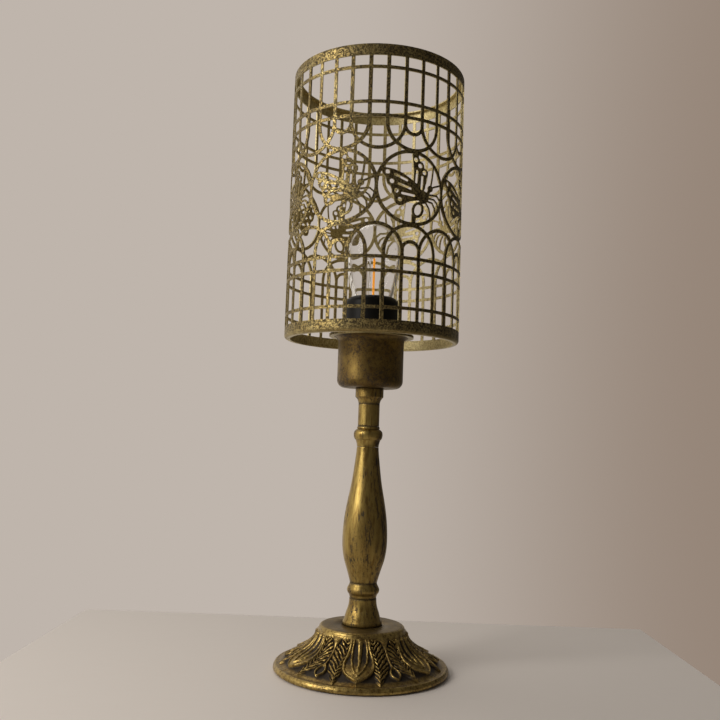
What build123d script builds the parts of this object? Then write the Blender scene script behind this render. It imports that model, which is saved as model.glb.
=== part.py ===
from build123d import *
import os
from math import atan2, cos, degrees, pi, radians, sin, sqrt

# Cordless table lamp: a pierced butterfly shade on a turned brass pillar, with a
# battery lamp unit that lifts out of the cup. Millimetres, +Z up, front is -Y.
# The origin is on the floor, at the centre of the base.

# ---- driving sizes -------------------------------------------------------------
# base
base_radius = 68.0
base_rim_height = 3.6
base_shoulder_radius = 34.0
base_plate_height = 33.8        # top plate above the casting's underside
base_wall = 3.2
petals = 6
petal_half_length = 15.0
petal_half_width = 9.0
petal_half_thickness = 4.6
petal_sink = 3.2                # petals' middles lie this far inside the flare's chord
pad_inset = 7.0                 # from the rim to the pad's edge
pad_thickness = 2.0
pad_proud = 0.8                 # the pad stands this far below the casting

# pillar, from the base plate up
foot_height = 20.4
foot_radius = 15.1
foot_top_radius = 10.6
lower_bead_height = 11.8
lower_bead_radius = 12.65
belly_radius = 17.67
belly_height = 34.0             # belly above the bottom of the baluster
baluster_height = 105.5
waist_radius = 10.66
baluster_top_radius = 8.7
upper_bead_height = 16.4
upper_bead_radius = 11.5
neck_height = 17.9
neck_radius = 8.5
collar_height = 12.5
collar_radius = 11.2
rod_radius = 5.0                # M10 x 1 lamp pipe
rod_bore_radius = 3.6
rod_clearance = 0.05
nut_across_flats = 14.0
nut_height = 4.0                # thin nut
washer_radius = 9.0
washer_thickness = 1.2

# cup
cup_gap = 3.2                   # radial room between the lamp unit and the cup's wall
cup_height = 40.9
cup_wall = 1.3
cup_corner = 6.0
lip_flare = 3.6                 # how far the lip opens out from the cup's wall
lip_height = 5.2

# shade
shade_radius = 70.0
shade_height = 217.4
shade_sheet = 1.0
shade_drop = 5.8                # the shade's lower edge hangs below the spider
band_height = 9.2
flange_width = 4.6
drawn_circle_radius = 27.49     # circle that the butterfly's outline is drawn for
bottom_edge_radius = 2.4
top_edge_radius = 1.3
periods = 8                     # pattern repeats around the shade
bar_width = 2.7
ring_width = 2.4
arch_width = 2.6
hairline = 1.3
ring_offsets = (53.1, 63.6, 90.4)    # hoops above and below the middle
arch_spring = 49.0              # level where the arches leave the bars
small_arch_spring = 47.6
arc_facets = 44                 # straight facets around each cut circle

# spider
spider_brim = 4.0               # how far the spider's ring reaches past the lip
spider_thickness = 2.0
arm_width = 8.0
arm_thickness = 1.5
arm_overlap = 5.4               # how far the arms lie over the ring
arm_angles = (90.0, 210.0, 330.0)
rivet_radius = 1.6
rivet_head_radius = 2.8
rivet_head_height = 1.1
weld_gap = 0.05

# lamp unit
unit_radius = 21.9
unit_wall = 1.6
unit_drop_in_gap = 0.3          # radial, between the unit and the spider's ring
seat_ring_height = 5.8
cover_thickness = 2.2
cover_skirt = 5.0
cover_gap = 0.06
cartridge_lift = 0.4            # the cartridge stands this far above the cover
head_room = 2.4                 # above the circuit board, up to the dome's joint
dome_height = 6.6
dome_wall = 1.8
dome_spigot = 4.0
cell_radius = 5.25              # AAA
cell_length = 44.5
cell_pitch_radius = 9.0
cell_nipple_radius = 1.9
cell_nipple_height = 1.0
cell_angles = (270.0, 30.0, 150.0)
plate_thickness = 1.5
contact_thickness = 0.5
spring_height = 3.2
board_inset = 2.3               # between the board's edge and the case
board_thickness = 1.2
board_lift = 1.2
switch_height = 9.0
switch_width = 5.0
switch_depth = 3.6
knob_height = 3.4
knob_width = 2.6
knob_proud = 1.3
switch_travel = 2.0
knob_clearance = 0.3

# bulb
bulb_radius = 22.6
bulb_height = 63.0              # from the dome's top to the crown
bulb_neck_radius = 15.0
bulb_sink = 5.0                 # the neck goes this far down into the dome
neck_gap = 0.5                  # between the glass and the dome's hole
glass_wall = 0.8
collar_wall = 1.2
stem_foot_height = 4.4
stem_foot_radius = 6.5
stem_radius = 1.9
stem_x = -3.9
filament_radius = 0.9
filament_length = 32.0
filament_x = 0.4
wire_radius = 0.4
lead_length = 1.0               # from the stem's foot to the filament

# ---- radii and levels worked out from the sizes --------------------------------
pad_radius = base_radius - pad_inset
cup_radius = unit_radius + cup_gap + cup_wall
lip_radius = cup_radius + lip_flare
spider_outer_radius = lip_radius + spider_brim
arm_inner_radius = spider_outer_radius - arm_overlap
rivet_ring_radius = (arm_inner_radius + spider_outer_radius) / 2 + 0.3
case_inner_radius = unit_radius - unit_wall
cartridge_radius = case_inner_radius - 0.8
board_radius = case_inner_radius - board_inset
spine_radius = cell_pitch_radius - cell_radius - 0.5
cell_stack = plate_thickness + spring_height + cell_length + cell_nipple_height + contact_thickness
board_stack = plate_thickness + board_lift + board_thickness
case_height = cartridge_lift + cell_stack + board_stack + head_room
base_z = pad_proud
plate_z = base_z + base_plate_height
lower_bead_z = plate_z + foot_height
baluster_z = lower_bead_z + lower_bead_height
upper_bead_z = baluster_z + baluster_height
neck_z = upper_bead_z + upper_bead_height
collar_z = neck_z + neck_height
cup_z = collar_z + collar_height
cup_floor_z = cup_z + cup_wall
lip_z = cup_z + cup_height
spider_z = lip_z
arm_z = spider_z + spider_thickness
arm_tab_height = arm_thickness + shade_drop - bottom_edge_radius - weld_gap
shade_z = arm_z - shade_drop
shade_mid_z = shade_z + shade_height / 2
seat_z = cup_floor_z + seat_ring_height
case_z = seat_z + cover_thickness
dome_z = case_z + case_height
bulb_z = dome_z + dome_height - bulb_sink
cartridge_z = case_z + cartridge_lift
cell_z = cartridge_z + plate_thickness + spring_height
top_plate_z = cell_z + cell_length + cell_nipple_height + contact_thickness
board_z = top_plate_z + plate_thickness + board_lift
switch_z = top_plate_z - contact_thickness - switch_height
switch_y = case_inner_radius - knob_clearance - switch_depth
stem_foot_z = bulb_z + 0.2
filament_z = stem_foot_z + stem_foot_height + lead_length
rod_bottom_z = base_z + 8.0
rod_top_z = cup_floor_z + washer_thickness + nut_height + 0.4


# ---- helpers -------------------------------------------------------------------
def at(x, y, z):
    return Pos(x, y, z)


def tube(outer, inner, z, height):
    ring = Circle(outer) - Circle(inner)
    return extrude(at(0, 0, z) * ring, height)


def rod(radius, z, height, x=0.0, y=0.0):
    return extrude(at(x, y, z) * Circle(radius), height)


def turned(edges):
    """Solid of revolution about Z from edges drawn as (radius, height)."""
    face = Plane.XZ * make_face(edges)
    return revolve(face, Axis.Z)


def polar(radius, angle, z=0.0):
    return (radius * cos(radians(angle)), radius * sin(radians(angle)), z)


def bored(solid, radius=rod_radius + rod_clearance):
    return solid - rod(radius, -10, 1000)


# ---- base ----------------------------------------------------------------------
def base_outline(offset):
    """Upper surface of the casting, shrunk inward by offset for the hollow."""
    rim = base_radius - offset * 2
    low = base_rim_height - offset
    top = base_plate_height - offset
    shoulder = base_shoulder_radius - offset
    return [
        (rim, low),
        (rim - 9.0, low + 3.0),
        (rim - 18.5, low + 8.0),
        (shoulder + 11.0, low + 13.0),
        (shoulder + 3.6, top - 7.0),
        (shoulder, top - 1.2),
    ]


def petal(angle):
    """A raised leaf that lies down the flare from the shoulder to the rim."""
    curve = base_outline(0)
    high_r, high_h = curve[4]
    low_r, low_h = curve[1]
    tilt = degrees(atan2(high_h - low_h, low_r - high_r))
    leaf = scale(Sphere(1.0), by=(petal_half_length, petal_half_width, petal_half_thickness))
    middle_r = (high_r + low_r) / 2 - petal_sink * sin(radians(tilt))
    middle_h = (high_h + low_h) / 2 - petal_sink * cos(radians(tilt))
    return Rot(0, 0, angle) * at(middle_r, 0, base_z + middle_h) * Rot(0, tilt, 0) * leaf


def base_casting():
    curve = base_outline(0)
    skin = Spline(*curve)
    foot = Polyline((0, 0), (base_radius - 1.0, 0), (base_radius, 1.0), (base_radius, base_rim_height))
    shoulder = base_shoulder_radius
    top = base_plate_height
    corner = RadiusArc((shoulder, top - 1.2), (shoulder - 1.2, top), 1.2)
    close = Polyline((shoulder - 1.2, top), (0, top), (0, 0))
    body = at(0, 0, base_z) * turned([foot, skin, corner, close])
    for k in range(petals):
        body += petal((k + 0.5) * 360 / petals)
    body -= underside_hollow()
    body -= rod(pad_radius + 0.3, base_z - 5, 5 + pad_thickness - pad_proud)
    return bored(body)


def underside_hollow():
    """Room under the plate for the nut, with walls of one thickness."""
    hollow = Polyline(
        (0, 0),
        (base_radius - 14.0, 0),
        (base_shoulder_radius + 4.0, 8.0),
        (base_shoulder_radius - base_wall, base_plate_height - base_wall * 2),
        (base_shoulder_radius - base_wall * 2, base_plate_height - base_wall),
        (0, base_plate_height - base_wall),
        (0, 0),
    )
    return at(0, 0, base_z) * turned([hollow])


def base_pad():
    return rod(pad_radius, 0, pad_thickness)


def base_washer():
    z = plate_z - base_wall - washer_thickness
    return tube(washer_radius, rod_radius + rod_clearance, z, washer_thickness)


def hex_nut(z):
    corner = nut_across_flats / sqrt(3)
    blank = extrude(at(0, 0, z) * RegularPolygon(corner, 6), nut_height)
    return bored(blank)


# ---- pillar --------------------------------------------------------------------
def foot_sleeve():
    step = Polyline((0, 0), (foot_radius, 0), (foot_radius, 3.2), (foot_radius - 0.8, 4.4), (14.2, 5.0))
    flare = Spline((14.2, 5.0), (12.7, 9.8), (11.3, 14.0), (foot_top_radius, foot_height))
    close = Polyline((foot_top_radius, foot_height), (0, foot_height), (0, 0))
    return bored(at(0, 0, plate_z) * turned([step, flare, close]))


def lower_bead():
    start = (foot_top_radius - 0.3, 0)
    mid = (lower_bead_radius, 5.6)
    end = (waist_radius, lower_bead_height)
    bead = Spline(start, (lower_bead_radius - 1.6, 2.6), mid, (lower_bead_radius - 1.5, 9.9), end)
    close = Polyline(end, (0, lower_bead_height), (0, 0), start)
    return bored(at(0, 0, lower_bead_z) * turned([bead, close]))


def baluster():
    start = (waist_radius, 0)
    belly = (belly_radius, belly_height)
    top = (baluster_top_radius, baluster_height)
    swell = Spline(start, (12.9, 8.0), (15.9, 17.5), belly, tangents=((0.28, 1), (0, 1)))
    rise = baluster_height - belly_height
    taper = Spline(
        belly,
        (16.05, belly_height + 0.29 * rise),
        (12.4, belly_height + 0.57 * rise),
        (9.6, belly_height + 0.86 * rise),
        top,
        tangents=((0, 1), (-0.04, 1)),
    )
    close = Polyline(top, (0, baluster_height), (0, 0), start)
    return bored(at(0, 0, baluster_z) * turned([swell, taper, close]))


def upper_bead():
    ring_z = upper_bead_height - 1.0
    start = (baluster_top_radius, 0)
    flute = Spline(start, (baluster_top_radius + 0.5, 3.4), (9.8, 5.6), tangents=((0, 1), (1, 1)))
    bead = ThreePointArc((9.8, 5.6), (upper_bead_radius, 10.4), (8.6, 14.2))
    ring = Polyline((8.6, 14.2), (9.0, 14.4), (9.0, ring_z), (neck_radius, upper_bead_height))
    close = Polyline((neck_radius, upper_bead_height), (0, upper_bead_height), (0, 0), start)
    return bored(at(0, 0, upper_bead_z) * turned([flute, bead, ring, close]))


def neck_sleeve():
    return tube(neck_radius, rod_radius + rod_clearance, neck_z, neck_height)


def collar():
    start = (neck_radius, 0)
    flare = Spline(start, (8.9, 2.0), (9.9, 4.0), (collar_radius, 5.4), tangents=((0, 1), (1, 0.6)))
    side = Polyline(
        (collar_radius, 5.4),
        (collar_radius, collar_height - 0.6),
        (collar_radius - 0.6, collar_height),
        (0, collar_height),
        (0, 0),
        start,
    )
    return bored(at(0, 0, collar_z) * turned([flare, side]))


def tie_rod():
    return tube(rod_radius, rod_bore_radius, rod_bottom_z, rod_top_z - rod_bottom_z)


# ---- cup -----------------------------------------------------------------------
def cup():
    wall_top = cup_height - lip_height
    inner = cup_radius - cup_wall
    floor_edge = cup_radius - cup_corner
    lip_inner = lip_radius - cup_wall
    floor = Line((0, 0), (floor_edge, 0))
    corner = RadiusArc((floor_edge, 0), (cup_radius, cup_corner), -cup_corner)
    side = Line((cup_radius, cup_corner), (cup_radius, wall_top))
    lip = Spline((cup_radius, wall_top), (cup_radius + 0.9, wall_top + 3.2), (lip_radius, cup_height),
                 tangents=((0, 1), (1, 0.5)))
    mouth = Line((lip_radius, cup_height), (lip_inner, cup_height))
    throat = Spline((lip_inner, cup_height), (inner + 0.9, wall_top + 3.2), (inner, wall_top),
                    tangents=((-1, -0.5), (0, -1)))
    bore = Line((inner, wall_top), (inner, cup_corner))
    inside = RadiusArc((inner, cup_corner), (floor_edge, cup_wall), cup_corner - cup_wall)
    close = Polyline((floor_edge, cup_wall), (0, cup_wall), (0, 0))
    shell = turned([floor, corner, side, lip, mouth, throat, bore, inside, close])
    return bored(at(0, 0, cup_z) * shell)


def cup_washer():
    return tube(washer_radius, rod_radius + rod_clearance, cup_floor_z, washer_thickness)


def seat_ring():
    return tube(unit_radius - 2.4, washer_radius + 3.0, cup_floor_z, seat_ring_height)


# ---- shade: the flat pattern of one period --------------------------------------
cell = 2 * pi * shade_radius / periods / 4
half_period = 2 * cell
circle_radius = half_period
arch_radius = 1.5 * cell
small_arch_radius = 0.5 * cell
pattern_half = shade_height / 2 - band_height


def bend_x(u):
    """Flat distance around the sheet, seen square on to the middle of the period."""
    return shade_radius * sin(u / shade_radius)


def bent(points):
    return [(bend_x(u), v) for u, v in points]


def polygon(points):
    """Closed outline through flat points; every edge stays straight in plan."""
    return make_face(Polyline(*bent(points), close=True))


def block(u0, u1, v0, v1):
    return polygon([(u0, v0), (u1, v0), (u1, v1), (u0, v1)])


def oval(u, v, ru, rv, tilt=0.0, count=12):
    turns = [2 * pi * (k + 0.5) / count for k in range(count)]
    c, s = cos(radians(tilt)), sin(radians(tilt))
    flat = [(ru * cos(t), rv * sin(t)) for t in turns]
    return polygon([(u + x * c - y * s, v + x * s + y * c) for x, y in flat])


def hoop(u, v, radius, width):
    outer = oval(u, v, radius + width / 2, radius + width / 2, count=arc_facets)
    inner = oval(u, v, radius - width / 2, radius - width / 2, count=arc_facets)
    return outer - inner


def arch(u, spring, radius, way):
    """Half a hoop that closes two bars; way is -1 for a sagging one, 1 for a rising one."""
    reach = radius + arch_width
    side = sorted((spring, spring + way * reach))
    return hoop(u, spring, radius, arch_width) & block(u - reach, u + reach, *side)


def stroke(points, width):
    """A thin line of one width through flat points."""
    left = []
    right = []
    last = len(points) - 1
    for k, (u, v) in enumerate(points):
        ahead = points[min(k + 1, last)]
        behind = points[max(k - 1, 0)]
        du, dv = ahead[0] - behind[0], ahead[1] - behind[1]
        length = sqrt(du * du + dv * dv)
        side_u, side_v = -dv / length * width / 2, du / length * width / 2
        left.append((u + side_u, v + side_v))
        right.append((u - side_u, v - side_v))
    return polygon(left + right[::-1])


def slot(u0, v0, u1, v1, width):
    """Straight slot with rounded ends."""
    du, dv = u1 - u0, v1 - v0
    length = sqrt(du * du + dv * dv)
    du, dv = du / length * width / 2, dv / length * width / 2
    far_end = [(u1 + dv, v1 - du), (u1 + (du + dv) * 0.7, v1 + (dv - du) * 0.7), (u1 + du, v1 + dv),
               (u1 + (du - dv) * 0.7, v1 + (dv + du) * 0.7), (u1 - dv, v1 + du)]
    near_end = [(u0 + u1 - u, v0 + v1 - v) for u, v in far_end]
    return polygon(far_end + near_end)


def butterfly():
    """Wings, body, head, feelers, legs and tail of one butterfly, grown to fill its circle."""
    upper_wing = [
        (-0.6, 27.5), (0.3, 19.0), (1.0, 12.0), (0.8, 6.0), (3.0, -1.0), (9.0, -2.5), (10.8, 1.0),
        (11.4, 6.0), (12.0, 9.3), (13.2, 11.6), (13.2, 14.2), (11.7, 15.8), (9.9, 16.3), (9.5, 18.6),
        (8.2, 20.5), (6.1, 21.2), (4.7, 24.0), (4.9, 27.5),
    ]
    lower_wing = [
        (-24.2, 13.2), (-19.6, 13.4), (-14.7, 12.6), (-9.8, 11.0), (-4.9, 8.6), (0.0, 5.9), (5.0, 2.0),
        (9.0, -3.0), (10.0, -8.0), (5.9, -8.6), (0.0, -10.0), (-4.0, -11.5), (-7.0, -13.7), (-9.9, -14.3),
        (-12.6, -13.2), (-13.9, -10.6), (-14.1, -7.4), (-15.5, -5.6), (-15.9, -2.6), (-17.0, -0.3),
        (-19.0, 1.2), (-20.0, 3.6), (-20.4, 6.4), (-22.4, 8.4), (-23.4, 10.6),
    ]
    thorax = [(8.0, 0.0), (12.4, -1.6), (14.6, -4.0), (14.2, -7.8), (12.0, -10.0), (8.0, -11.0), (5.0, -8.0)]
    shape = polygon(upper_wing) + polygon(lower_wing) + polygon(thorax)
    shape += oval(15.8, 1.9, 2.5, 2.5)
    shape += stroke([(12.0, -5.0), (14.0, -1.5), (15.8, 1.9)], 2.6)
    shape += oval(5.1, -16.0, 5.0, 6.4, -20) - oval(5.1, -16.0, 2.9, 4.4, -20)
    shape += block(0.0, 3.4, -27.5, -20.0)
    shape += feelers()
    for u, v, radius in ((2.4, 21.8, 1.8), (6.2, 17.7, 1.8), (10.0, 13.2, 1.8),
                         (-19.3, 10.3, 1.8), (-15.9, 3.5, 1.8), (-12.4, -3.3, 1.8), (-9.6, -9.8, 1.7)):
        shape -= oval(u, v, radius, radius)
    for ends in ((3.7, 13.4, 3.2, 4.8), (8.3, 9.6, 7.8, 0.4),
                 (-13.6, 8.7, -4.4, 5.2), (-10.8, 1.9, -1.4, -0.7), (-7.8, -4.9, 1.6, -5.7)):
        shape -= slot(*ends, 2.0)
    return scale(shape, by=circle_radius / drawn_circle_radius)


def feelers():
    lines = (
        [(16.2, 3.0), (17.4, 10.0), (18.0, 15.0), (18.2, 21.0)],
        [(16.5, 2.6), (21.6, 4.8), (27.2, 6.9)],
        [(12.0, -3.2), (18.6, -2.6), (22.6, -2.4), (27.0, -6.2)],
        [(12.0, -5.8), (19.6, -5.7), (22.2, -7.6), (24.8, -13.0)],
        [(12.0, -8.0), (18.0, -8.7), (20.2, -12.0), (21.4, -18.0)],
        [(11.4, -9.0), (14.8, -13.3), (15.9, -17.0), (16.2, -22.8)],
    )
    drawn = stroke(lines[0], hairline)
    for points in lines[1:]:
        drawn += stroke(points, hairline)
    return drawn


def period_pattern():
    """Everything that is metal in one period, between the two bands."""
    reach = half_period + 4.0
    metal = hoop(0, 0, circle_radius, arch_width)
    metal += butterfly()
    for way in (-1, 1):
        for bar in (-1.5, -0.5, 0.5, 1.5):
            middle = bar * cell
            ends = sorted((way * small_arch_spring, way * (pattern_half + 1.0)))
            metal += block(middle - bar_width / 2, middle + bar_width / 2, *ends)
        for offset in ring_offsets:
            level = way * offset
            metal += block(-reach, reach, level - ring_width / 2, level + ring_width / 2)
        for middle in (-half_period, 0, half_period):
            metal += arch(middle, way * arch_spring, arch_radius, -way)
        metal += arch(0, way * small_arch_spring, small_arch_radius, -way)
    return metal


def shade_sector():
    """One period of pierced sheet, its middle facing the front."""
    z = shade_mid_z
    pattern = Plane(origin=(0, 0, z), x_dir=(1, 0, 0), z_dir=(0, -1, 0)) * period_pattern()
    prism = extrude(pattern, shade_radius + 5)
    half = pi / periods
    far = shade_radius * 1.5
    wedge_face = make_face(Polyline((0, 0), (far * sin(-half), -far * cos(half)),
                                    (far * sin(half), -far * cos(half)), close=True))
    wedge = extrude(at(0, 0, z - pattern_half) * wedge_face, 2 * pattern_half)
    sheet = tube(shade_radius, shade_radius - shade_sheet, z - pattern_half, 2 * pattern_half)
    return (sheet & wedge) & prism


def shade_band(bottom):
    """Band with its edge turned in, as (radius, height) from the shade's lower edge up."""
    r = shade_radius
    t = shade_sheet
    edge = bottom_edge_radius if bottom else top_edge_radius
    inner_edge = max(edge - t, 0.2)
    out = Line((r, band_height), (r, edge))
    turn = RadiusArc((r, edge), (r - edge, 0), edge)
    flange = Polyline((r - edge, 0), (r - flange_width, 0), (r - flange_width, t), (r - t - inner_edge, t))
    back = RadiusArc((r - t - inner_edge, t), (r - t, t + inner_edge), -inner_edge)
    close = Polyline((r - t, t + inner_edge), (r - t, band_height), (r, band_height))
    band = turned([out, turn, flange, back, close])
    if bottom:
        return at(0, 0, shade_z) * band
    return at(0, 0, shade_z + shade_height) * mirror(band, Plane.XY)


def shade_cage():
    """All periods and both bands as one sheet; the seams between periods are left in its faces."""
    sector = shade_sector()
    turn = 360 / periods
    sectors = [Rot(0, 0, turn * (k + 0.5)) * sector for k in range(periods)]
    bands = [shade_band(True), shade_band(False)]
    with BuildPart() as cage:
        add(bands)
        add(sectors, clean=False)
    return cage.part


# ---- spider --------------------------------------------------------------------
def spider_ring():
    ring = tube(spider_outer_radius, unit_radius + unit_drop_in_gap, spider_z, spider_thickness)
    for angle in arm_angles:
        x, y, z = polar(rivet_ring_radius, angle, spider_z - 1)
        ring -= rod(rivet_radius, z, spider_thickness + 2, x, y)
    return ring


def spider_arms():
    """Three flat bars, each turned down against the inside of the lower band."""
    end = shade_radius - shade_sheet - weld_gap
    arms = []
    for angle in arm_angles:
        bar = Box(end, arm_width, arm_thickness)
        bar = at(arm_inner_radius + end / 2, 0, arm_z + arm_thickness / 2) * bar
        tab = Box(2 * arm_thickness, arm_width, arm_tab_height)
        tab = at(end, 0, arm_z + arm_thickness - arm_tab_height / 2) * tab
        arm = (bar + tab) & rod(end, arm_z - arm_tab_height, arm_tab_height * 2)
        arm -= rod(rivet_radius, arm_z - 1, arm_thickness + 2, rivet_ring_radius, 0)
        arms.append(Rot(0, 0, angle) * arm)
    return arms


def spider_rivets():
    rivets = []
    for angle in arm_angles:
        x, y, z = polar(rivet_ring_radius, angle, arm_z + arm_thickness)
        shank = rod(rivet_radius, spider_z, spider_thickness + arm_thickness, x, y)
        flat = rivet_head_height / rivet_head_radius
        head = at(x, y, z) * scale(Sphere(rivet_head_radius), by=(1, 1, flat))
        head &= rod(rivet_head_radius, z, rivet_head_height, x, y)
        rivets.append(shank + head)
    return rivets


# ---- lamp unit -----------------------------------------------------------------
def battery_case():
    shell = tube(unit_radius, case_inner_radius, case_z, case_height)
    slot_height = knob_height + 2 * switch_travel + 2 * knob_clearance
    window = Box(knob_width + 2 * knob_clearance, 2 * unit_wall + 2, slot_height)
    return shell - at(0, unit_radius, switch_z) * window


def battery_cover():
    plate = rod(unit_radius, seat_z, cover_thickness)
    skirt_outer = case_inner_radius - cover_gap
    skirt = tube(skirt_outer, skirt_outer - 0.6, seat_z, cover_thickness + cover_skirt)
    grip = at(0, 0, seat_z) * Box(2.4, 18, 2.0)
    return (plate + skirt) - grip


def case_dome():
    outer = unit_radius
    hole_radius = bulb_neck_radius + neck_gap
    under = outer - dome_wall - 0.4
    spigot_outer = case_inner_radius - cover_gap
    crown = Spline((outer, 0), (outer - 0.9, 3.4), (outer - 3.4, 5.8), (hole_radius, dome_height),
                   tangents=((0, 1), (-1, 0.05)))
    hole = Line((hole_radius, dome_height), (hole_radius, dome_height - dome_wall))
    inside = Spline((hole_radius, dome_height - dome_wall), (outer - 4.2, 3.7), (under, 0),
                    tangents=((1, -0.05), (0.1, -1)))
    spigot = Polyline((under, 0), (spigot_outer - 0.9, -dome_spigot), (spigot_outer, -dome_spigot),
                      (spigot_outer, 0), (outer, 0))
    return at(0, 0, dome_z) * turned([crown, hole, inside, spigot])


def cartridge_frame():
    """End plates on a spine; the upper plate has a notch for the switch's lead."""
    plate_radius = cartridge_radius - 0.6
    low = rod(plate_radius, cartridge_z, plate_thickness)
    high = rod(plate_radius, top_plate_z, plate_thickness)
    spine = rod(spine_radius, cartridge_z, top_plate_z - cartridge_z)
    notch = at(0, switch_y + plate_radius / 2, top_plate_z) * Box(5.0, plate_radius, 4 * plate_thickness)
    return low + spine + high - notch


def battery_cell(angle):
    x, y, z = polar(cell_pitch_radius, angle, cell_z)
    can = rod(cell_radius, z, cell_length, x, y)
    can = fillet(can.edges().filter_by(GeomType.CIRCLE), 0.5)
    return can + rod(cell_nipple_radius, z + cell_length, cell_nipple_height, x, y)


def contact_springs():
    """Three bent leaves that press on the cells' flat ends."""
    leaves = []
    half = cell_radius * 0.7
    t = contact_thickness
    rise = spring_height
    side = make_face(Polyline((-half, 0), (half, 0), (half, t), (-half + 2 * t, t), (half, rise - t),
                              (half, rise), (half - 2, rise), (-half, t), close=True))
    leaf = extrude(Plane.XZ * side, 2.0, both=True)
    for angle in cell_angles:
        place = at(*polar(cell_pitch_radius, angle, cartridge_z + plate_thickness))
        leaves.append(place * leaf)
    return leaves


def contact_plates():
    z = top_plate_z - contact_thickness
    places = [polar(cell_pitch_radius, angle) for angle in cell_angles]
    return [rod(cell_radius * 0.7, z, contact_thickness, x, y) for x, y, level in places]


def board_posts():
    z = top_plate_z + plate_thickness
    return [rod(2.0, z, board_lift, *polar(14.0, angle)[:2]) for angle in cell_angles]


def circuit_board():
    return rod(board_radius, board_z, board_thickness)


def switch_body():
    body = at(0, switch_y + switch_depth / 2, switch_z) * Box(switch_width, switch_depth, switch_height)
    track = at(0, switch_y + switch_depth, switch_z) * Box(knob_width + 0.4, 2.4, switch_height - 1.6)
    return body - track


def switch_lead():
    """Stiff strip that joins the switch to the circuit board."""
    z = switch_z + switch_height / 2
    return at(0, switch_y + 0.6, (z + board_z) / 2) * Box(4.0, 1.0, board_z - z)


def switch_knob():
    inner = case_inner_radius - knob_clearance - 1.1
    outer = unit_radius + knob_proud
    knob = at(0, (inner + outer) / 2, switch_z) * Box(knob_width, outer - inner, knob_height)
    return fillet(knob.edges().filter_by(Axis.X).group_by(Axis.Y)[-1], 0.5)


# ---- bulb ----------------------------------------------------------------------
def bulb_profile(shrink):
    """Half outline of the glass as (radius, height) from the bottom of its neck."""
    ball = bulb_radius - shrink
    neck = bulb_neck_radius - shrink
    centre = bulb_sink + bulb_height - bulb_radius
    crown = (0, centre + ball)
    quarter = ball / sqrt(2)
    dome = ThreePointArc(crown, (quarter, centre + quarter), (ball, centre))
    shoulder = (neck, bulb_sink - 1.0)
    taper = Bezier((ball, centre), (ball, centre * 0.62), (neck + 3.6, bulb_sink + 7.4), shoulder)
    return dome, taper, shoulder, crown


def bulb_glass():
    dome, taper, shoulder, crown = bulb_profile(0)
    inner_dome, inner_taper, inner_shoulder, inner_crown = bulb_profile(glass_wall)
    down = Polyline(shoulder, (shoulder[0], 0), (inner_shoulder[0], 0), inner_shoulder)
    axis_line = Line(crown, inner_crown)
    return at(0, 0, bulb_z) * turned([dome, taper, down, inner_taper, inner_dome, axis_line])


def bulb_base():
    """Moulded seat that carries the glass, standing on the circuit board."""
    outer = bulb_neck_radius + collar_wall
    low = board_z + board_thickness
    seat = tube(outer, bulb_neck_radius - 6, low, bulb_z - low)
    rim = tube(outer, bulb_neck_radius + 0.1, bulb_z, 2.0 * collar_wall)
    return seat + rim


def bulb_stem():
    """Flared glass foot fused into the neck, with the rod that holds the filament."""
    edge = bulb_neck_radius - glass_wall - 0.1
    flare = Spline((edge, 0), (stem_foot_radius + 2.2, 1.6), (stem_foot_radius, stem_foot_height))
    close = Polyline((stem_foot_radius, stem_foot_height), (0, stem_foot_height), (0, 0), (edge, 0))
    foot = at(0, 0, stem_foot_z) * turned([flare, close])
    top = filament_z + filament_length + 2 * wire_radius
    return foot + rod(stem_radius, stem_foot_z + 1, top - stem_foot_z - 1, stem_x, 0)


def filament():
    return rod(filament_radius, filament_z, filament_length, filament_x, 0)


def filament_wires():
    """Lower lead from the stem's foot, and the upper one across to the stem's rod."""
    lower = rod(wire_radius, filament_z - lead_length, lead_length, filament_x, 0)
    left = stem_x + stem_radius
    right = filament_x + wire_radius
    thickness = 2 * wire_radius
    top = filament_z + filament_length
    upper = at((left + right) / 2, 0, top + wire_radius) * Box(right - left, thickness, thickness)
    return [lower, upper]


# ---- write every piece ---------------------------------------------------------
pieces = {
    "base_casting": base_casting,
    "base_pad": base_pad,
    "base_washer": base_washer,
    "foot_sleeve": foot_sleeve,
    "lower_bead": lower_bead,
    "baluster": baluster,
    "upper_bead": upper_bead,
    "neck_sleeve": neck_sleeve,
    "collar": collar,
    "tie_rod": tie_rod,
    "cup": cup,
    "cup_washer": cup_washer,
    "seat_ring": seat_ring,
    "shade_cage": shade_cage,
    "spider_ring": spider_ring,
    "spider_arms": spider_arms,
    "spider_rivets": spider_rivets,
    "battery_case": battery_case,
    "battery_cover": battery_cover,
    "case_dome": case_dome,
    "cartridge_frame": cartridge_frame,
    "contact_springs": contact_springs,
    "contact_plates": contact_plates,
    "board_posts": board_posts,
    "circuit_board": circuit_board,
    "switch_body": switch_body,
    "switch_lead": switch_lead,
    "switch_knob": switch_knob,
    "bulb_base": bulb_base,
    "bulb_glass": bulb_glass,
    "bulb_stem": bulb_stem,
    "filament": filament,
    "filament_wires": filament_wires,
}


def build_all():
    built = {name: make() for name, make in pieces.items()}
    built["base_nut"] = hex_nut(plate_z - base_wall - washer_thickness - nut_height)
    built["cup_nut"] = hex_nut(cup_floor_z + washer_thickness)
    for number, angle in enumerate(cell_angles, start=1):
        built[f"cell_{number}"] = battery_cell(angle)
    return built


os.makedirs("parts", exist_ok=True)
for name, shape in build_all().items():
    if isinstance(shape, list):
        shape = Compound(children=shape)
    export_step(shape, f"parts/{name}.step", write_pcurves=False)
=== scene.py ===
import math
import bpy
import numpy as np
from mathutils import Matrix, Vector


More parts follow.
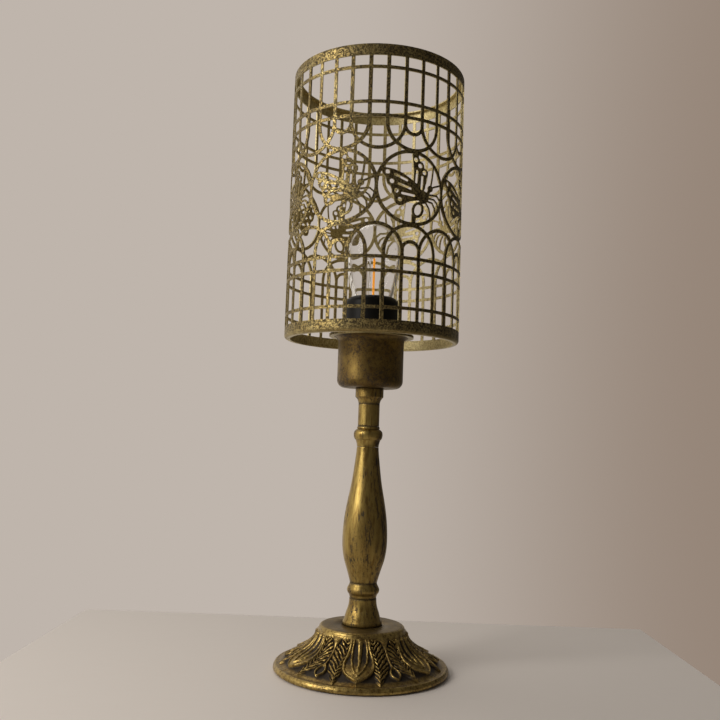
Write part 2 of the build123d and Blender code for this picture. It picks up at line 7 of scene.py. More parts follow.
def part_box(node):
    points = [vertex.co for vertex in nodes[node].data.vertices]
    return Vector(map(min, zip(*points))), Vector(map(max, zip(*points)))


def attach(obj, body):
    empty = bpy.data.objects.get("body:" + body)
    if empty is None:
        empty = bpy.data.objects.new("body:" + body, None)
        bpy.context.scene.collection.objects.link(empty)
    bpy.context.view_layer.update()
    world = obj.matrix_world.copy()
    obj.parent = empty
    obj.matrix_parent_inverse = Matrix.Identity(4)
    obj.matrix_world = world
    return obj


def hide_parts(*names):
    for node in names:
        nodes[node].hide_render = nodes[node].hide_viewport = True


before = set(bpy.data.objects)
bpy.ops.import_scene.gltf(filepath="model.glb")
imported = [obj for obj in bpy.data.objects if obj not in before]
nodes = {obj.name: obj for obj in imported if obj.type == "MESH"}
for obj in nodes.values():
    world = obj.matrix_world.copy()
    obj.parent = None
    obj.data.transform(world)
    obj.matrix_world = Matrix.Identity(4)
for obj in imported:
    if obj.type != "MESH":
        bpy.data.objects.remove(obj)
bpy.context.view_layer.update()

mm = 0.001


class Value:
    # wraps one socket, so that shader sums read as sums
    def __init__(self, paint, socket):
        self.paint = paint
        self.socket = socket

    def sum(self, operation, other, swap=False):
        ends = (other, self) if swap else (self, other)
        return self.paint.add("Math", {"operation": operation}, dict(enumerate(ends)))

    def __add__(self, other):
        return self.sum("ADD", other)

    def __radd__(self, other):
        return self.sum("ADD", other, True)

    def __sub__(self, other):
        return self.sum("SUBTRACT", other)

    def __rsub__(self, other):
        return self.sum("SUBTRACT", other, True)

    def __mul__(self, other):
        return self.sum("MULTIPLY", other)

    def __rmul__(self, other):
        return self.sum("MULTIPLY", other, True)


class Paint:
    # a material, or the world, with its node tree
    def __init__(self, name, tree=None):
        if tree is None:
            self.material = bpy.data.materials.new(name)
            self.material.use_nodes = True
            tree = self.material.node_tree
            self.shader = tree.nodes["Principled BSDF"]
        self.tree = tree

    def add(self, kind, settings=None, inputs=None, out=0):
        node = self.tree.nodes.new("ShaderNode" + kind)
        for key, value in (settings or {}).items():
            setattr(node, key, value)
        for key, value in (inputs or {}).items():
            self.plug(node.inputs[key], value)
        return Value(self, node.outputs[out])

    def plug(self, socket, value):
        if isinstance(value, Value):
            self.tree.links.new(value.socket, socket)
        else:
            socket.default_value = value

    def set(self, **values):
        for key, value in values.items():
            self.plug(self.shader.inputs[key.replace("_", " ")], value)

    def place(self):
        return self.add("TexCoord", out="Object")

    def part(self, vector, axis):
        return self.add("SeparateXYZ", None, {0: vector}, axis)

    def stretch(self, vector, scale):
        return self.add("VectorMath", {"operation": "MULTIPLY"}, {0: vector, 1: scale})

    def noise(self, vector, scale, detail=3.0, rough=0.5, warp=0.0):
        inputs = {"Vector": vector, "Scale": scale, "Detail": detail}
        inputs.update({"Roughness": rough, "Distortion": warp})
        return self.add("TexNoise", None, inputs)

    def ramp(self, value, low, high, start=0.0, end=1.0):
        inputs = {"Value": value, "From Min": low, "From Max": high, "To Min": start, "To Max": end}
        return self.add("MapRange", {"interpolation_type": "SMOOTHSTEP"}, inputs)

    def mix(self, amount, first, second, blend="MIX"):
        settings = {"data_type": "RGBA", "blend_type": blend, "clamp_factor": True}
        return self.add("Mix", settings, {0: amount, 6: first, 7: second}, 2)

    def bump(self, height, strength, distance):
        return self.add("Bump", None, {"Height": height, "Strength": strength, "Distance": distance})

    def larger(self, first, second):
        return self.add("Math", {"operation": "MAXIMUM"}, {0: first, 1: second})

    def smaller(self, first, second):
        return self.add("Math", {"operation": "MINIMUM"}, {0: first, 1: second})


def colour(red, green, blue):
    # screen colour, 0 to 255, to a linear one
    def linear(part):
        part = part / 255
        return part / 12.92 if part <= 0.04045 else ((part + 0.055) / 1.055) ** 2.4
    return (linear(red), linear(green), linear(blue), 1.0)


def meshPiece(name, points, faces, smooth=True):
    mesh = bpy.data.meshes.new(name)
    mesh.from_pydata([tuple(p) for p in points], [], [tuple(f) for f in faces])
    mesh.update()
    mesh.polygons.foreach_set("use_smooth", [smooth] * len(mesh.polygons))
    piece = bpy.data.objects.new(name, mesh)
    bpy.context.scene.collection.objects.link(piece)
    return piece


def lathe(name, outline, steps=128):
    # turns an outline of (radius, height) about a vertical axis; radius 0 closes on the axis
    turns = [2 * math.pi * k / steps for k in range(steps)]
    points = []
    rings = []
    for radius, height in outline:
        if radius < 1e-7:
            rings.append([len(points)] * steps)
            points.append((0.0, 0.0, height))
        else:
            rings.append([len(points) + k for k in range(steps)])
            points += [(radius * math.cos(t), radius * math.sin(t), height) for t in turns]
    faces = []
    for low, high in zip(rings, rings[1:]):
        for k in range(steps):
            n = (k + 1) % steps
            faces.append(tuple(dict.fromkeys([low[k], low[n], high[n], high[k]])))
    return meshPiece(name, points, faces)


def stand(piece, nodeName, body, paint):
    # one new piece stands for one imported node
    piece.data.materials.append(paint.material)
    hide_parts(nodeName)
    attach(piece, body)


# antique brass: gold paint brushed over black, worn through in clouds, flecks and streaks
agedLook = {
    "gold": colour(190, 167, 98),
    "bronze": colour(122, 96, 48),
    "black": colour(30, 21, 12),
    "roughness": 0.35,
    "cloudSize": 45.0,           # clouds of wear per metre
    "fleckSize": 900.0,
    "brushShare": 0.45,          # scale of the brush marks' noise, as a share of the flecks'
    "wearSoftness": 0.10,        # how far the worn patches fade at their edges
    "flecks": (0.53, 0.60),      # noise levels at which black starts, and is full
    "grainDepth": 0.0002,
    "unevenness": 0.22,
}

pillarLook = dict(agedLook, seamWidth=0.0016, seamWaver=0.004, seamBlack=0.75, smudgeSize=520.0,
                  smudgeStretch=0.2, smudges=(0.52, 0.62), smudgeBlack=0.88)
cupLook = dict(agedLook, gold=colour(158, 136, 74), bronze=colour(92, 70, 36), black=colour(34, 24, 14),
               mottleSize=380.0, mottles=(0.53, 0.64), mottleBlack=0.75)
shadeLook = dict(agedLook, gold=colour(222, 208, 150), bronze=colour(146, 124, 74), fleckSize=1500.0,
                 patchSize=620.0, speckles=(0.46, 0.52), speckleBlack=0.9, edge=(0.001, 0.0035))
leafLook = dict(agedLook, gold=colour(210, 184, 112), bronze=colour(106, 83, 42), roughness=0.3)


def agedBrass(name, look, wear=0.5, streak=0.3, fleck=0.6):
    # returns the paint with its masks, so that each piece can add to them before finishBrass
    paint = Paint(name)
    at = paint.place()
    along = paint.stretch(at, (1.0, 1.0, streak))
    paint.cloud = paint.noise(along, look["cloudSize"], 5.0, 0.65, 0.6)
    paint.brush = paint.noise(along, look["fleckSize"] * look["brushShare"], 4.0, 0.65)
    paint.fleck = paint.noise(at, look["fleckSize"], 3.0, 0.6)
    worn = paint.cloud * 0.55 + paint.brush * 0.45
    soft = look["wearSoftness"]
    paint.bronze = paint.ramp(worn, wear - soft, wear + soft)
    flecks = paint.fleck * 0.6 + paint.cloud * 0.4
    paint.black = paint.ramp(flecks, *look["flecks"], 0.0, fleck)
    return paint


def finishBrass(paint, look, dull=0.0):
    gold = paint.mix(paint.ramp(paint.brush, 0.3, 0.7), look["bronze"], look["gold"])
    tint = paint.mix(paint.bronze * 0.75, gold, look["bronze"])
    tint = paint.mix(paint.black, tint, look["black"])
    paint.set(Base_Color=tint, Metallic=paint.ramp(paint.black, 0.0, 1.0, 0.9 - dull * 0.3, 0.3))
    rubbed = (paint.brush - 0.5) * look["unevenness"]
    uneven = rubbed + paint.bronze * 0.08 + paint.black * look["unevenness"]
    paint.set(Roughness=uneven + look["roughness"] + dull * 0.15)
    grain = paint.brush * 0.5 + paint.fleck * 0.5 - paint.black * 0.7
    paint.set(Normal=paint.bump(grain, 0.4, look["grainDepth"]))
    return paint


def pillarBrass():
    # long smudges down the pillar, and black left in the seams between the turned pieces
    look = pillarLook
    paint = agedBrass("pillarBrass", look, wear=0.5, streak=0.16, fleck=0.5)
    z = paint.part(paint.place(), 2)
    seamed = ("foot_sleeve", "lower_bead", "baluster", "neck_sleeve", "collar", "cup")
    near = None
    for level in [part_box(name)[0].z for name in seamed]:
        away = paint.add("Math", {"operation": "ABSOLUTE"}, {0: z - level})
        near = away if near is None else paint.smaller(near, away)
    waver = (paint.fleck - 0.5) * look["seamWaver"]
    seam = paint.ramp(near + waver, 0.0001, look["seamWidth"], look["seamBlack"], 0.0)
    long = paint.stretch(paint.place(), (1.0, 1.0, look["smudgeStretch"]))
    smudge = paint.noise(long, look["smudgeSize"], 4.0, 0.7, 0.3)
    smudge = smudge + (paint.cloud - 0.5) * 0.8
    smudge = paint.ramp(smudge, *look["smudges"], 0.0, look["smudgeBlack"])
    paint.black = paint.larger(paint.larger(paint.black, seam), smudge)
    return finishBrass(paint, look)


def cupBrass():
    # mottled: black left in fine patches
    paint = agedBrass("cupBrass", cupLook, wear=0.47, streak=0.8, fleck=0.85)
    mottle = paint.noise(paint.place(), cupLook["mottleSize"], 5.0, 0.75, 0.4)
    mottle = mottle + (paint.cloud - 0.5) * 0.9
    mottle = paint.ramp(mottle, *cupLook["mottles"], 0.0, cupLook["mottleBlack"])
    paint.black = paint.larger(paint.black, mottle)
    return finishBrass(paint, cupLook, 0.2)


def shadeBrass():
    # speckled outside; the inner face and the cut edges are a plainer, brighter, less metallic gold:
    # partly their own finish, partly painted light standing in for the light that falls inside the shade
    paint = agedBrass("shadeBrass", shadeLook, wear=0.46, streak=1.0, fleck=0.9)
    at = paint.stretch(paint.place(), (1.0, 1.0, 0.0))
    facing = paint.add("TexCoord", out="Normal")
    outward = paint.add("VectorMath", {"operation": "DOT_PRODUCT"}, {0: facing, 1: at}, "Value")
    outside = paint.ramp(outward, 0.004, 0.03)
    patches = paint.noise(paint.place(), shadeLook["patchSize"], 4.0, 0.7, 0.5)
    speckle = paint.fleck * 0.5 + patches * 0.5
    speckle = paint.ramp(speckle, *shadeLook["speckles"], 0.0, shadeLook["speckleBlack"])
    away = paint.part(paint.place(), 2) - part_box("shade_cage")[0].z
    edge = paint.ramp(away, *shadeLook["edge"], 0.45, 1.0)
    paint.black = paint.larger(paint.black * 0.4, speckle * outside * edge)
    # inside and on the cut edges less bronze, so a brighter gold: partly painted light for the lit inner
    # wall
    paint.bronze = paint.bronze * (0.15 + outside * 0.85)
    finishBrass(paint, shadeLook)
    # inner face less metallic, so it reads as diffusely lit: partly painted light
    paint.set(Metallic=paint.ramp(outside - paint.black * 0.6, -0.2, 0.9, 0.2, 0.9))
    return paint


pillarPaint = pillarBrass()
cupPaint = cupBrass()
shadePaint = shadeBrass()


def mouldedPlastic(name, tint, worn, rough, grain=1400.0):
    paint = Paint(name)
    texture = paint.noise(paint.place(), grain, 3.0, 0.5)
    smear = paint.noise(paint.place(), 70.0, 4.0, 0.6)
    paint.set(Base_Color=paint.mix(paint.ramp(smear, 0.4, 0.8), tint, worn))
    paint.set(Roughness=rough + (smear - 0.5) * 0.2)
    paint.set(Normal=paint.bump(texture, 0.2, 0.0001))
    return paint


blackPlastic = mouldedPlastic("blackPlastic", colour(6, 6, 7), colour(14, 14, 14), 0.42)
blackPlastic.set(Specular_IOR_Level=0.18)
greyPlastic = mouldedPlastic("greyPlastic", colour(120, 120, 122), colour(104, 104, 105), 0.5)
foam = mouldedPlastic("foam", colour(24, 24, 25), colour(36, 36, 36), 0.9, 2600.0)
boardGreen = mouldedPlastic("boardGreen", colour(28, 92, 52), colour(22, 74, 42), 0.4)
cellSleeve = mouldedPlastic("cellSleeve", colour(44, 44, 50), colour(56, 56, 60), 0.35)


def platedSteel():
    paint = Paint("platedSteel")
    lines = paint.noise(paint.stretch(paint.place(), (1.0, 1.0, 12.0)), 300.0, 4.0, 0.6)
    paint.set(Base_Color=paint.mix(lines, colour(150, 148, 142), colour(205, 203, 196)), Metallic=1.0)
    paint.set(Roughness=0.28 + lines * 0.2, Normal=paint.bump(lines, 0.15, 0.0001))
    return paint


def clearGlass():
    paint = Paint("clearGlass")
    dust = paint.noise(paint.place(), 240.0, 4.0, 0.6)
    paint.set(Base_Color=paint.mix(dust * 0.3, (1.0, 1.0, 1.0, 1.0), colour(236, 238, 236)))
    paint.set(Roughness=paint.ramp(dust, 0.5, 0.8, 0.0, 0.06), IOR=1.13, Transmission_Weight=1.0)
    return paint


def amberCoat():
    # light strip: a row of tiny lamps under one amber coat
    paint = Paint("amberCoat")
    beads = paint.add("TexWave", {"bands_direction": "Z"}, {"Vector": paint.place(), "Scale": 330.0})
    paint.set(Base_Color=paint.mix(beads * 0.35, colour(240, 158, 34), colour(206, 112, 14)))
    paint.set(Roughness=0.4)
    paint.set(Emission_Color=paint.mix(beads * 0.35, colour(255, 166, 34), colour(226, 118, 12)))
    paint.set(Emission_Strength=0.5, Normal=paint.bump(beads, 0.3, 0.0002))
    return paint


steel = platedSteel()
glass = clearGlass()
amber = amberCoat()
print("finishes ready")


# cast base: a flared skirt with six petals, fern leaves between them and budded stems
castBase = {
    "turn": -91.0,             # middle of the front petal, degrees from +X
    "lean": -1.5,              # how far the leaves drift sideways on their way down, degrees
    "petals": 6,
    "swell": 1.05,             # scales the height of all the leaves
    "groundDepth": 0.6,        # ground between the leaves is sunk by this, mm
    "lipAt": 45.2,             # length down the slope of the fine bead inside the rim
    "lipHalf": 1.6,
    "lipHeight": 0.45,
    "rubbedHeight": 1.6,       # at this height the gold is rubbed quite clean
    "shoulderGoldAndHighlight": 1.3,       # gold on these places, in the same measure: rubbed wear, and on the shoulder also a painted highlight
    "plateGold": 1.4,
    "groundGold": 0.8,
    "rimGold": 1.3,
    "lipGold": 0.5,
    "columns": 1200,
    "rows": 160,
}

# radius and height of the skirt without its relief, mm above the casting's underside
skirt = [(33.5, 31.6), (34.2, 28.8), (35.6, 25.6), (37.6, 22.3), (40.2, 19.0), (43.8, 16.0), (48.2, 13.2),
         (53.0, 10.4), (58.0, 7.8), (62.5, 5.6), (65.2, 4.5), (66.6, 3.9)]
plateEdge = [(12.0, 33.8), (24.0, 33.8), (29.5, 33.8), (31.0, 33.7), (32.0, 33.4), (32.8, 32.9),
             (33.25, 32.3)]
rimEdge = [(67.3, 3.3), (67.8, 2.5), (68.0, 1.6), (67.95, 0.8), (67.6, 0.25), (67.0, 0.0), (61.6, 0.0),
           (61.4, 1.2), (12.0, 1.2)]


def smooth(x, low, high):
    t = np.clip((x - low) / (high - low), 0, 1)
    return t * t * (3 - 2 * t)


def bead(distance, half):
    # height of a round bead of the given half width
    return np.sqrt(np.clip(1 - (distance / half) ** 2, 0, 1))


def closing(s, start, end, sharp):
    # 1 up to start, then rounds in to 0 at end
    t = np.clip((s - start) / (end - start), 0, 1)
    return (1 - t ** 1.8) ** sharp


# leaves: widths and heights in mm, spans as lengths down the slope from the plate's edge
petalLeaf = {
    "rootHalf": 7.5,
    "fullHalf": 11.9,
    "widens": (3, 24),
    "closes": 25,
    "end": 38.0,
    "roundness": 0.66,
    "lift": 0.9,               # the tip stands prouder than the root
    "lifts": (16, 34),
    "floor": 0.78,
    "outlineIn": 1.1,
    "outlineHalf": 1.35,
    "outlineHeight": 2.1,
    "innerHalf": 4.3,
    "innerEnd": 33,
    "ribHalf": 1.8,
    "ribHeight": 1.25,
    "ribFades": (24, 30),
}


def petal(across, s):
    # raised outline, a pointed inner outline and one broad rib
    leaf = petalLeaf
    half = leaf["rootHalf"] + (leaf["fullHalf"] - leaf["rootHalf"]) * smooth(s, *leaf["widens"])
    half = half * closing(s, leaf["closes"], leaf["end"], leaf["roundness"])
    into = half - np.abs(across)
    lift = leaf["lift"] * smooth(s, *leaf["lifts"])
    floor = smooth(into, -0.4, 0.8) * (leaf["floor"] + lift)
    outline = bead(into - leaf["outlineIn"], leaf["outlineHalf"]) * (leaf["outlineHeight"] + lift * 0.6)
    innerHalf = (leaf["innerHalf"] + 1.2 * smooth(s, 2, 12)) * closing(s, 18, leaf["innerEnd"], 0.8)
    inner = bead(innerHalf - np.abs(across), 0.85) * 1.05 * (s < leaf["innerEnd"] + 0.6)
    rib = bead(across, leaf["ribHalf"] - 0.7 * smooth(s, 4, 24)) * leaf["ribHeight"]
    rib = rib * (1 - smooth(s, *leaf["ribFades"]))
    inside = smooth(into, 0.0, 0.6)
    shape = floor + np.maximum(inner, rib) * inside * 0.95
    return np.maximum(shape, outline * (half > 0.4))


fernLeaf = {
    "middle": 15.0,            # degrees from the petal's middle, at the root
    "swing": 2.4,              # out on the way down, then back in
    "swingBack": 1.6,
    "rootHalf": 3.5,
    "widens": 5.6,
    "petalSide": 4.6,
    "end": 42.0,
    "veinPitch": 3.9,
    "veinHalf": 0.39,          # half width of a leaflet, as a share of the pitch
    "slope": 1.5,              # how steeply the leaflets point down
    "droop": 0.05,
    "height": 1.5,
}


def fern(angle, s, radius):
    # leaflets that point down and in to a midline close beside the petal
    leaf = fernLeaf
    middle = leaf["middle"] + leaf["swing"] * smooth(s, 4, 24) - leaf["swingBack"] * smooth(s, 28, 42)
    across = np.radians(np.abs(angle) - middle) * radius
    stemSide = (leaf["rootHalf"] + leaf["widens"] * smooth(s, 1, 10)) * closing(s, 18, leaf["end"], 1.0)
    petalSide = leaf["petalSide"] * closing(s, 27, leaf["end"], 0.8)
    into = np.where(across > 0, stemSide - across, petalSide + across)
    inside = smooth(into, -0.2, 0.7)
    along = s + leaf["slope"] * np.abs(across) - leaf["droop"] * across ** 2
    phase = np.mod(along / leaf["veinPitch"] + 0.06 * np.sin(angle * 1.7 + s * 0.4), 1.0)
    leaflet = bead(phase - 0.5, leaf["veinHalf"]) * (0.75 + 0.35 * np.sin(np.pi * smooth(into, -1, 9)))
    rib = bead(across, 0.55) * smooth(s, 22, 30) * 0.8
    return inside * (0.08 + leaf["height"] * np.maximum(leaflet, rib))


stemBud = {
    "angle": 30,               # degrees from the petal's middle
    "rootHalf": 4.2,
    "stalkHalf": 1.15,
    "stalkHeight": 1.5,
    "budStart": 23.5,
    "budEnd": 37.5,
    "budHalf": 4.4,
    "budHeight": 1.7,
}


def stem(angle, s, radius):
    # a root that flows out of the shoulder, thins to a stalk and ends in a hollow bud
    across = np.radians(np.abs(angle) - stemBud["angle"]) * radius
    half = stemBud["rootHalf"] * (1 - smooth(s, -3, 11)) + stemBud["stalkHalf"]
    stalk = bead(across, half) * (stemBud["stalkHeight"] + 0.7 * (1 - smooth(s, 0, 10)))
    stalk = stalk * (1 - smooth(s, 26, 29))
    t = np.clip((s - stemBud["budStart"]) / (stemBud["budEnd"] - stemBud["budStart"]), 0, 1)
    budHalf = stemBud["budHalf"] * np.sin(np.pi * t ** 1.25) ** 0.75
    into = budHalf - np.abs(across)
    bud = bead(into - 0.75, 0.95) * stemBud["budHeight"] + smooth(into, 0.2, 1.6) * 0.45
    return np.maximum(stalk, bud * (t > 0) * (t < 1) * (budHalf > 0.5))


def relief(angle, s):
    # height of the casting over its skirt; angle in degrees from the nearest petal's middle
    radius = np.interp(s, skirtLength, [r for r, h in skirt])
    across = np.radians(angle) * radius
    wobble = 0.35 * np.sin(s * 0.55 + angle * 0.21) + 0.25 * np.sin(s * 1.3 - angle * 0.4)
    across = across + wobble * 0.5 * smooth(s, 6, 20)
    shape = np.maximum(fern(angle, s + wobble, radius), stem(angle, s, radius))
    leaf = petal(across, s)
    shape = np.where(leaf > 0.12, leaf, np.maximum(shape, leaf))
    ground = -castBase["groundDepth"] * smooth(s, 2.5, 6) * (1 - smooth(s, 41, 44))
    lip = bead(s - castBase["lipAt"], castBase["lipHalf"]) * castBase["lipHeight"]
    return (ground + shape * castBase["swell"]) * smooth(s, 0.8, 4.5) + lip


skirtLength = np.concatenate([[0], np.cumsum([math.dist(a, b) for a, b in zip(skirt, skirt[1:])])])


def evened(values, reach=9):
    # takes the corners off a line of values
    padded = np.pad(values, reach, mode="reflect", reflect_type="odd")
    kernel = np.hanning(2 * reach + 3)[1:-1]
    return np.convolve(padded, kernel / kernel.sum(), "valid")


def skirtGrid():
    # radius, height and rubbed gold (on the shoulder partly a painted highlight) of the skirt with its
    # leaves, a row for each length down the slope
    s = np.linspace(0, skirtLength[-1], castBase["rows"])
    spacing = 360 / castBase["petals"]
    free = np.arange(castBase["columns"]) * 360 / castBase["columns"]
    lean = castBase["lean"] * smooth(s, 8, 40)[:, None]
    angle = np.mod(free[None, :] - lean + spacing / 2, spacing) - spacing / 2
    height = relief(angle, s[:, None] * np.ones(castBase["columns"]))
    r = evened(np.interp(s, skirtLength, [p[0] for p in skirt]))
    h = evened(np.interp(s, skirtLength, [p[1] for p in skirt]))
    slopeR = np.gradient(r)
    slopeH = np.gradient(h)
    size = np.hypot(slopeR, slopeH)
    ringR = r[:, None] - (slopeH / size)[:, None] * height
    ringH = h[:, None] + (slopeR / size)[:, None] * height
    # the shoulder's gold is partly a painted highlight along the rounded shoulder; the ground's and lip's
    # gold are rubbed wear
    rubbed = castBase["shoulderGoldAndHighlight"] * smooth(-s, -4.5, -1) + castBase["groundGold"] * smooth(s, 35, 41)
    rubbed = rubbed + castBase["lipGold"] * smooth(s, 43.5, 45)
    return ringR, ringH, np.maximum(height, rubbed[:, None])


def rows(outline, part):
    # one row of the grid for each point of a plain outline
    return np.outer([point[part] for point in outline], np.ones(castBase["columns"]))


def baseRelief():
    columns = castBase["columns"]
    ringR, ringH, bright = skirtGrid()
    allR = np.vstack([rows(plateEdge, 0), ringR, rows(rimEdge, 0)])
    allH = np.vstack([rows(plateEdge, 1), ringH, rows(rimEdge, 1)])
    plateGold = np.full((len(plateEdge), columns), castBase["plateGold"])
    rimGold = np.full((len(rimEdge), columns), castBase["rimGold"])
    gold = np.vstack([plateGold, bright, rimGold])
    turn = math.radians(castBase["turn"]) + np.arange(columns) * 2 * math.pi / columns
    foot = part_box("base_casting")[1].z / mm - plateEdge[0][1]
    points = np.stack([allR * np.cos(turn), allR * np.sin(turn), allH + foot], -1).reshape(-1, 3) * mm
    here = np.arange(columns)
    after = (here + 1) % columns
    row = np.arange(len(allR))[:, None] * columns
    below = np.roll(row, -1, axis=0)
    faces = np.stack([row + here, below + here, below + after, row + after], -1).reshape(-1, 4)
    piece = meshPiece("baseRelief", points, faces.tolist())
    heights = piece.data.attributes.new("reliefHeight", "FLOAT", "POINT")
    values = np.clip(gold.ravel() / castBase["rubbedHeight"], -0.5, 1)
    heights.data.foreach_set("value", values.astype(np.float32))
    return piece


def castBrass():
    # black left in the hollows, gold rubbed on to the ridges and a painted highlight on the shoulder, a
    # duller plate on top
    paint = agedBrass("castBrass", leafLook, wear=0.5, streak=1.0, fleck=0.55)
    height = paint.add("Attribute", {"attribute_name": "reliefHeight"}, None, "Fac")
    hollow = paint.ramp(height + (paint.brush - 0.5) * 0.4, 0.1, 0.56, 0.97, 0.0)
    paint.black = paint.larger(paint.black, hollow)
    ridge = paint.ramp(height + (paint.brush - 0.5) * 0.3, 0.4, 0.85)
    paint.bronze = paint.larger(paint.bronze * 0.6, 1 - ridge)
    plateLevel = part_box("base_casting")[1].z
    plate = paint.ramp(paint.part(paint.place(), 2), plateLevel - 0.0006, plateLevel - 0.0001)
    paint.bronze = paint.larger(paint.bronze, plate * 0.9)
    paint.black = paint.larger(paint.black, plate * paint.ramp(paint.cloud, 0.35, 0.7, 0.15, 0.6))
    return finishBrass(paint, leafLook)


leafPaint = castBrass()
stand(baseRelief(), "base_casting", "stand", leafPaint)
print("base cast")


# turned pieces of the pillar: (radius, height) in mm from each piece's lower face
turnings = {
    "foot_sleeve": [
        (0, 0), (14.8, 0), (15.3, 0.5), (15.4, 1.6), (15.2, 2.9), (14.6, 3.9), (14.2, 4.5),
        (14.1, 5.0), (13.5, 7.2), (12.7, 9.8), (11.9, 12.0), (11.3, 14.0), (10.8, 16.8),
        (10.6, 20.1), (0, 20.4),
    ],
    "lower_bead": [
        (0, 0), (10.3, 0.1), (10.6, 1.2), (11.05, 2.6), (12.1, 4.1), (12.65, 5.6), (12.5, 7.2),
        (11.8, 8.8), (11.15, 9.9), (10.75, 11.0), (10.6, 11.7), (0, 11.8),
    ],
    "baluster": [
        (0, 0), (10.66, 0.1), (11.5, 3.2), (12.9, 8.0), (14.5, 13.0), (15.9, 17.5), (17.0, 23.2),
        (17.55, 28.5), (17.67, 34.0), (17.5, 40.0), (17.0, 47.0), (16.05, 54.7), (14.5, 63.8),
        (12.4, 74.7), (11.0, 84.0), (9.6, 95.5), (8.95, 101.5), (8.7, 105.4), (0, 105.5),
    ],
    "upper_bead": [
        (0, 0), (8.7, 0.1), (8.8, 1.6), (9.2, 3.4), (9.8, 5.3), (10.4, 5.9), (11.1, 7.2),
        (11.45, 8.8), (11.5, 10.4), (11.1, 12.0), (10.1, 13.3), (8.8, 14.1), (8.6, 14.3),
        (9.0, 14.6), (9.0, 15.3), (8.6, 16.3), (0, 16.4),
    ],
    "neck_sleeve": [
        (0, 0), (8.5, 0.05), (8.5, 6.0), (8.5, 12.0), (8.5, 17.85), (0, 17.9),
    ],
    "collar": [
        (0, 0), (8.5, 0.05), (8.65, 1.0), (8.95, 2.2), (9.7, 3.7), (10.5, 4.7), (11.1, 5.3),
        (11.2, 6.0), (11.2, 9.0), (11.2, 11.8), (11.0, 12.3), (10.5, 12.5), (0, 12.5),
    ],
}


def curved(points, steps=5):
    # smooth line through the points; the two ends on the axis stay straight
    line = [Vector(p) for p in points]
    result = [line[0]]
    for k in range(1, len(line) - 2):
        start = line[k]
        end = line[k + 1]
        before = line[max(k - 1, 1)]
        after = line[min(k + 2, len(line) - 2)]
        for n in range(steps):
            t = n / steps
            bend = (end - before) * t + (2 * before - 5 * start + 4 * end - after) * t * t
            result.append(start + 0.5 * (bend + (3 * start - before - 3 * end + after) * t ** 3))
    return result + line[-2:]


def turning(name):
    low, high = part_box(name)
    stretch = (high.z - low.z) / (turnings[name][-1][1] * mm)
    line = curved(turnings[name])
    outline = [(max(point.x, 0.0) * mm, low.z + point.y * stretch * mm) for point in line]
    piece = lathe(name + "_turned", outline)
    stand(piece, name, "stand", pillarPaint)


for name in turnings:
    turning(name)
print("pillar turned")


# bulb: thin glass globe on a wide neck, with its stem and light strip
bulb = {
    "wall": 0.6 * mm,
    "neckHeight": 4.0 * mm,
    "neckRadius": 15.0 * mm,
    "crownSteps": 28,
    "taperSteps": 40,
}


def globeOutline(low, high, shrink):
    ball = high.x - shrink
    centre = high.z - high.x
    steps = [k / bulb["crownSteps"] * math.pi / 2 for k in range(bulb["crownSteps"] + 1)]
    crown = [(ball * math.sin(t), centre + ball * math.cos(t)) for t in steps]
    start = Vector((ball, centre))
    grip = Vector((ball, centre - 0.38 * (centre - low.z)))
    neck = Vector((bulb["neckRadius"] - shrink, low.z + bulb["neckHeight"]))
    pull = neck + Vector((3.6 * mm, 8.4 * mm))
    taper = []
    for k in range(1, bulb["taperSteps"] + 1):
        t = k / bulb["taperSteps"]
        u = 1 - t
        taper.append(tuple(start * u ** 3 + grip * 3 * u * u * t + pull * 3 * u * t * t + neck * t ** 3))
    return crown + taper + [(neck.x, low.z)]


def bulbGlass():
    low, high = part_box("bulb_glass")
    outer = globeOutline(low, high, 0.0)
    inner = globeOutline(low, high, bulb["wall"])
    return lathe("bulbGlass", outer + inner[::-1])


stand(bulbGlass(), "bulb_glass", "lamp_unit", glass)
print("bulb blown")


finishes = {
    cupPaint: ["cup"],
    shadePaint: ["shade_cage", "spider_ring", "spider_arms", "spider_rivets"],
    blackPlastic: ["battery_case", "battery_cover", "case_dome"],
    greyPlastic: ["cartridge_frame", "board_posts", "switch_body", "bulb_base", "switch_knob"],
    foam: ["base_pad", "seat_ring"],
    boardGreen: ["circuit_board"],
    cellSleeve: ["cell_1", "cell_2", "cell_3"],
    steel: ["base_washer", "base_nut", "tie_rod", "cup_washer", "cup_nut", "contact_springs",
            "contact_plates", "switch_lead", "filament_wires"],
    glass: ["bulb_stem"],
    amber: ["filament"],
}
for paint, names in finishes.items():
    for name in names:
        mesh = nodes[name].data
        mesh.materials.clear()
        mesh.materials.append(paint.material)
print("packed nodes painted")


room = {
    "tableHalfWidth": 0.275,
    "tableBack": 0.177,
    "tableFront": -0.62,
    "tableThickness": 0.022,
    "tableColour": colour(228, 222, 219),
    "tableGrain": colour(214, 207, 203),
    "wallLight": colour(191, 181, 172),
    "wallShade": colour(149, 133, 120),
    "fillLight": (0.90, 0.82, 0.72, 1.0),
    "lens": 40.93,
    "eye": (0.0, -0.6564, 0.1802),
    "yaw": -0.0130,
    "pitch": 0.0934,
    "roll": 0.0339,
    "wallTurns": (-0.08, 0.42),    # sideways directions between which the wall darkens
    "glow": (0.11, 0.86),          # room's light from its dim side and its bright side
}
keyLight = {"place": (-0.95, -0.6, 0.7), "size": 0.62, "power": 8.8, "tint": (1.0, 0.95, 0.87)}
topLight = {"place": (-0.35, 0.35, 1.2), "size": 0.6, "power": 1.6, "tint": (1.0, 0.94, 0.86)}
aimHeight = 0.25


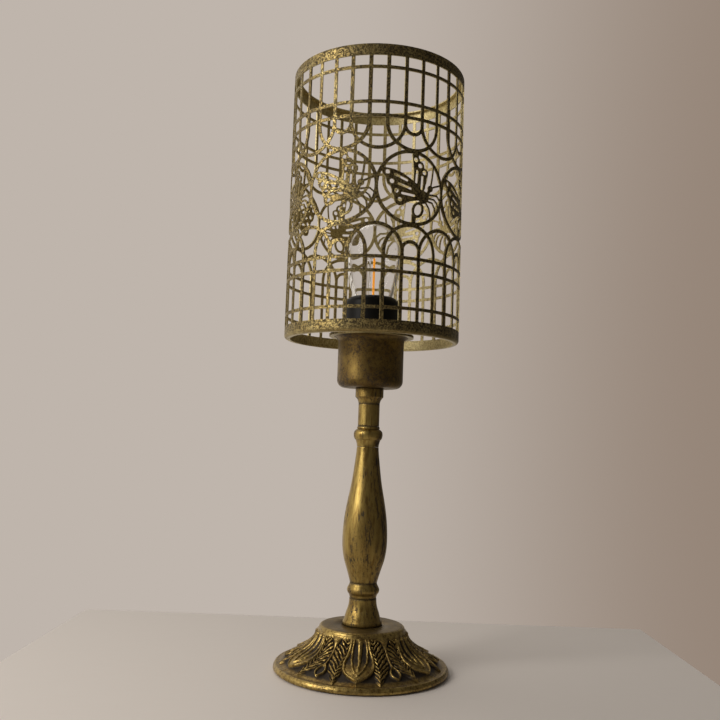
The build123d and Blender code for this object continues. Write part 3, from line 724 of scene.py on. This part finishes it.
def table():
    half = room["tableHalfWidth"]
    front = room["tableFront"]
    back = room["tableBack"]
    top = [(-half, front, 0.0), (half, front, 0.0), (half, back, 0.0), (-half, back, 0.0)]
    under = [(x, y, -room["tableThickness"]) for x, y, z in top]
    faces = [(0, 1, 2, 3), (7, 6, 5, 4), (0, 4, 5, 1), (1, 5, 6, 2), (2, 6, 7, 3), (3, 7, 4, 0)]
    slab = meshPiece("tableTop", top + under, faces, False)
    paint = Paint("tablePaint")
    grain = paint.noise(paint.stretch(paint.place(), (3.0, 40.0, 1.0)), 9.0, 5.0, 0.6)
    paint.set(Base_Color=paint.mix(grain * 0.25, room["tableColour"], room["tableGrain"]), Roughness=0.55)
    slab.data.materials.append(paint.material)


def areaLight(name, lighting):
    light = bpy.data.lights.new(name, "AREA")
    light.size = lighting["size"]
    light.energy = lighting["power"]
    light.color = lighting["tint"]
    lamp = bpy.data.objects.new(name, light)
    lamp.location = lighting["place"]
    aim = Vector((0.0, 0.0, aimHeight)) - lamp.location
    lamp.rotation_euler = aim.to_track_quat("-Z", "Y").to_euler()
    bpy.context.scene.collection.objects.link(lamp)


def roomLight():
    world = bpy.data.worlds.new("room")
    world.use_nodes = True
    bpy.context.scene.world = world
    paint = Paint("room", world.node_tree)
    way = paint.add("TexCoord", out="Generated")
    x = paint.part(way, 0)
    y = paint.part(way, 1)
    wall = paint.mix(paint.ramp(x, *room["wallTurns"]), room["wallLight"], room["wallShade"])
    glow = paint.ramp(y * 0.55 - x * 0.8, -0.1, 0.95, *room["glow"])
    grey = paint.add("CombineColor", None, {0: glow, 1: glow, 2: glow})
    soft = paint.mix(1.0, room["fillLight"], grey, "MULTIPLY")
    camera = paint.add("LightPath", out="Is Camera Ray")
    seen = paint.larger(camera, paint.add("LightPath", out="Is Transmission Ray"))
    background = world.node_tree.nodes["Background"]
    paint.plug(background.inputs["Color"], paint.mix(seen, soft, wall))
    areaLight("keyLight", keyLight)
    areaLight("topLight", topLight)


def placeCamera():
    camera = bpy.data.cameras.new("camera")
    camera.lens = room["lens"]
    camera.sensor_width = 36.0
    camera.clip_start = 0.01
    view = bpy.data.objects.new("camera", camera)
    turn = Matrix.Rotation(-room["yaw"], 4, "Z") @ Matrix.Rotation(math.pi / 2 + room["pitch"], 4, "X")
    view.matrix_world = Matrix.Translation(room["eye"]) @ turn @ Matrix.Rotation(room["roll"], 4, "Z")
    bpy.context.scene.collection.objects.link(view)
    bpy.context.scene.camera = view
    bpy.context.scene.view_settings.view_transform = "Standard"


table()
roomLight()
placeCamera()
print("room lit")
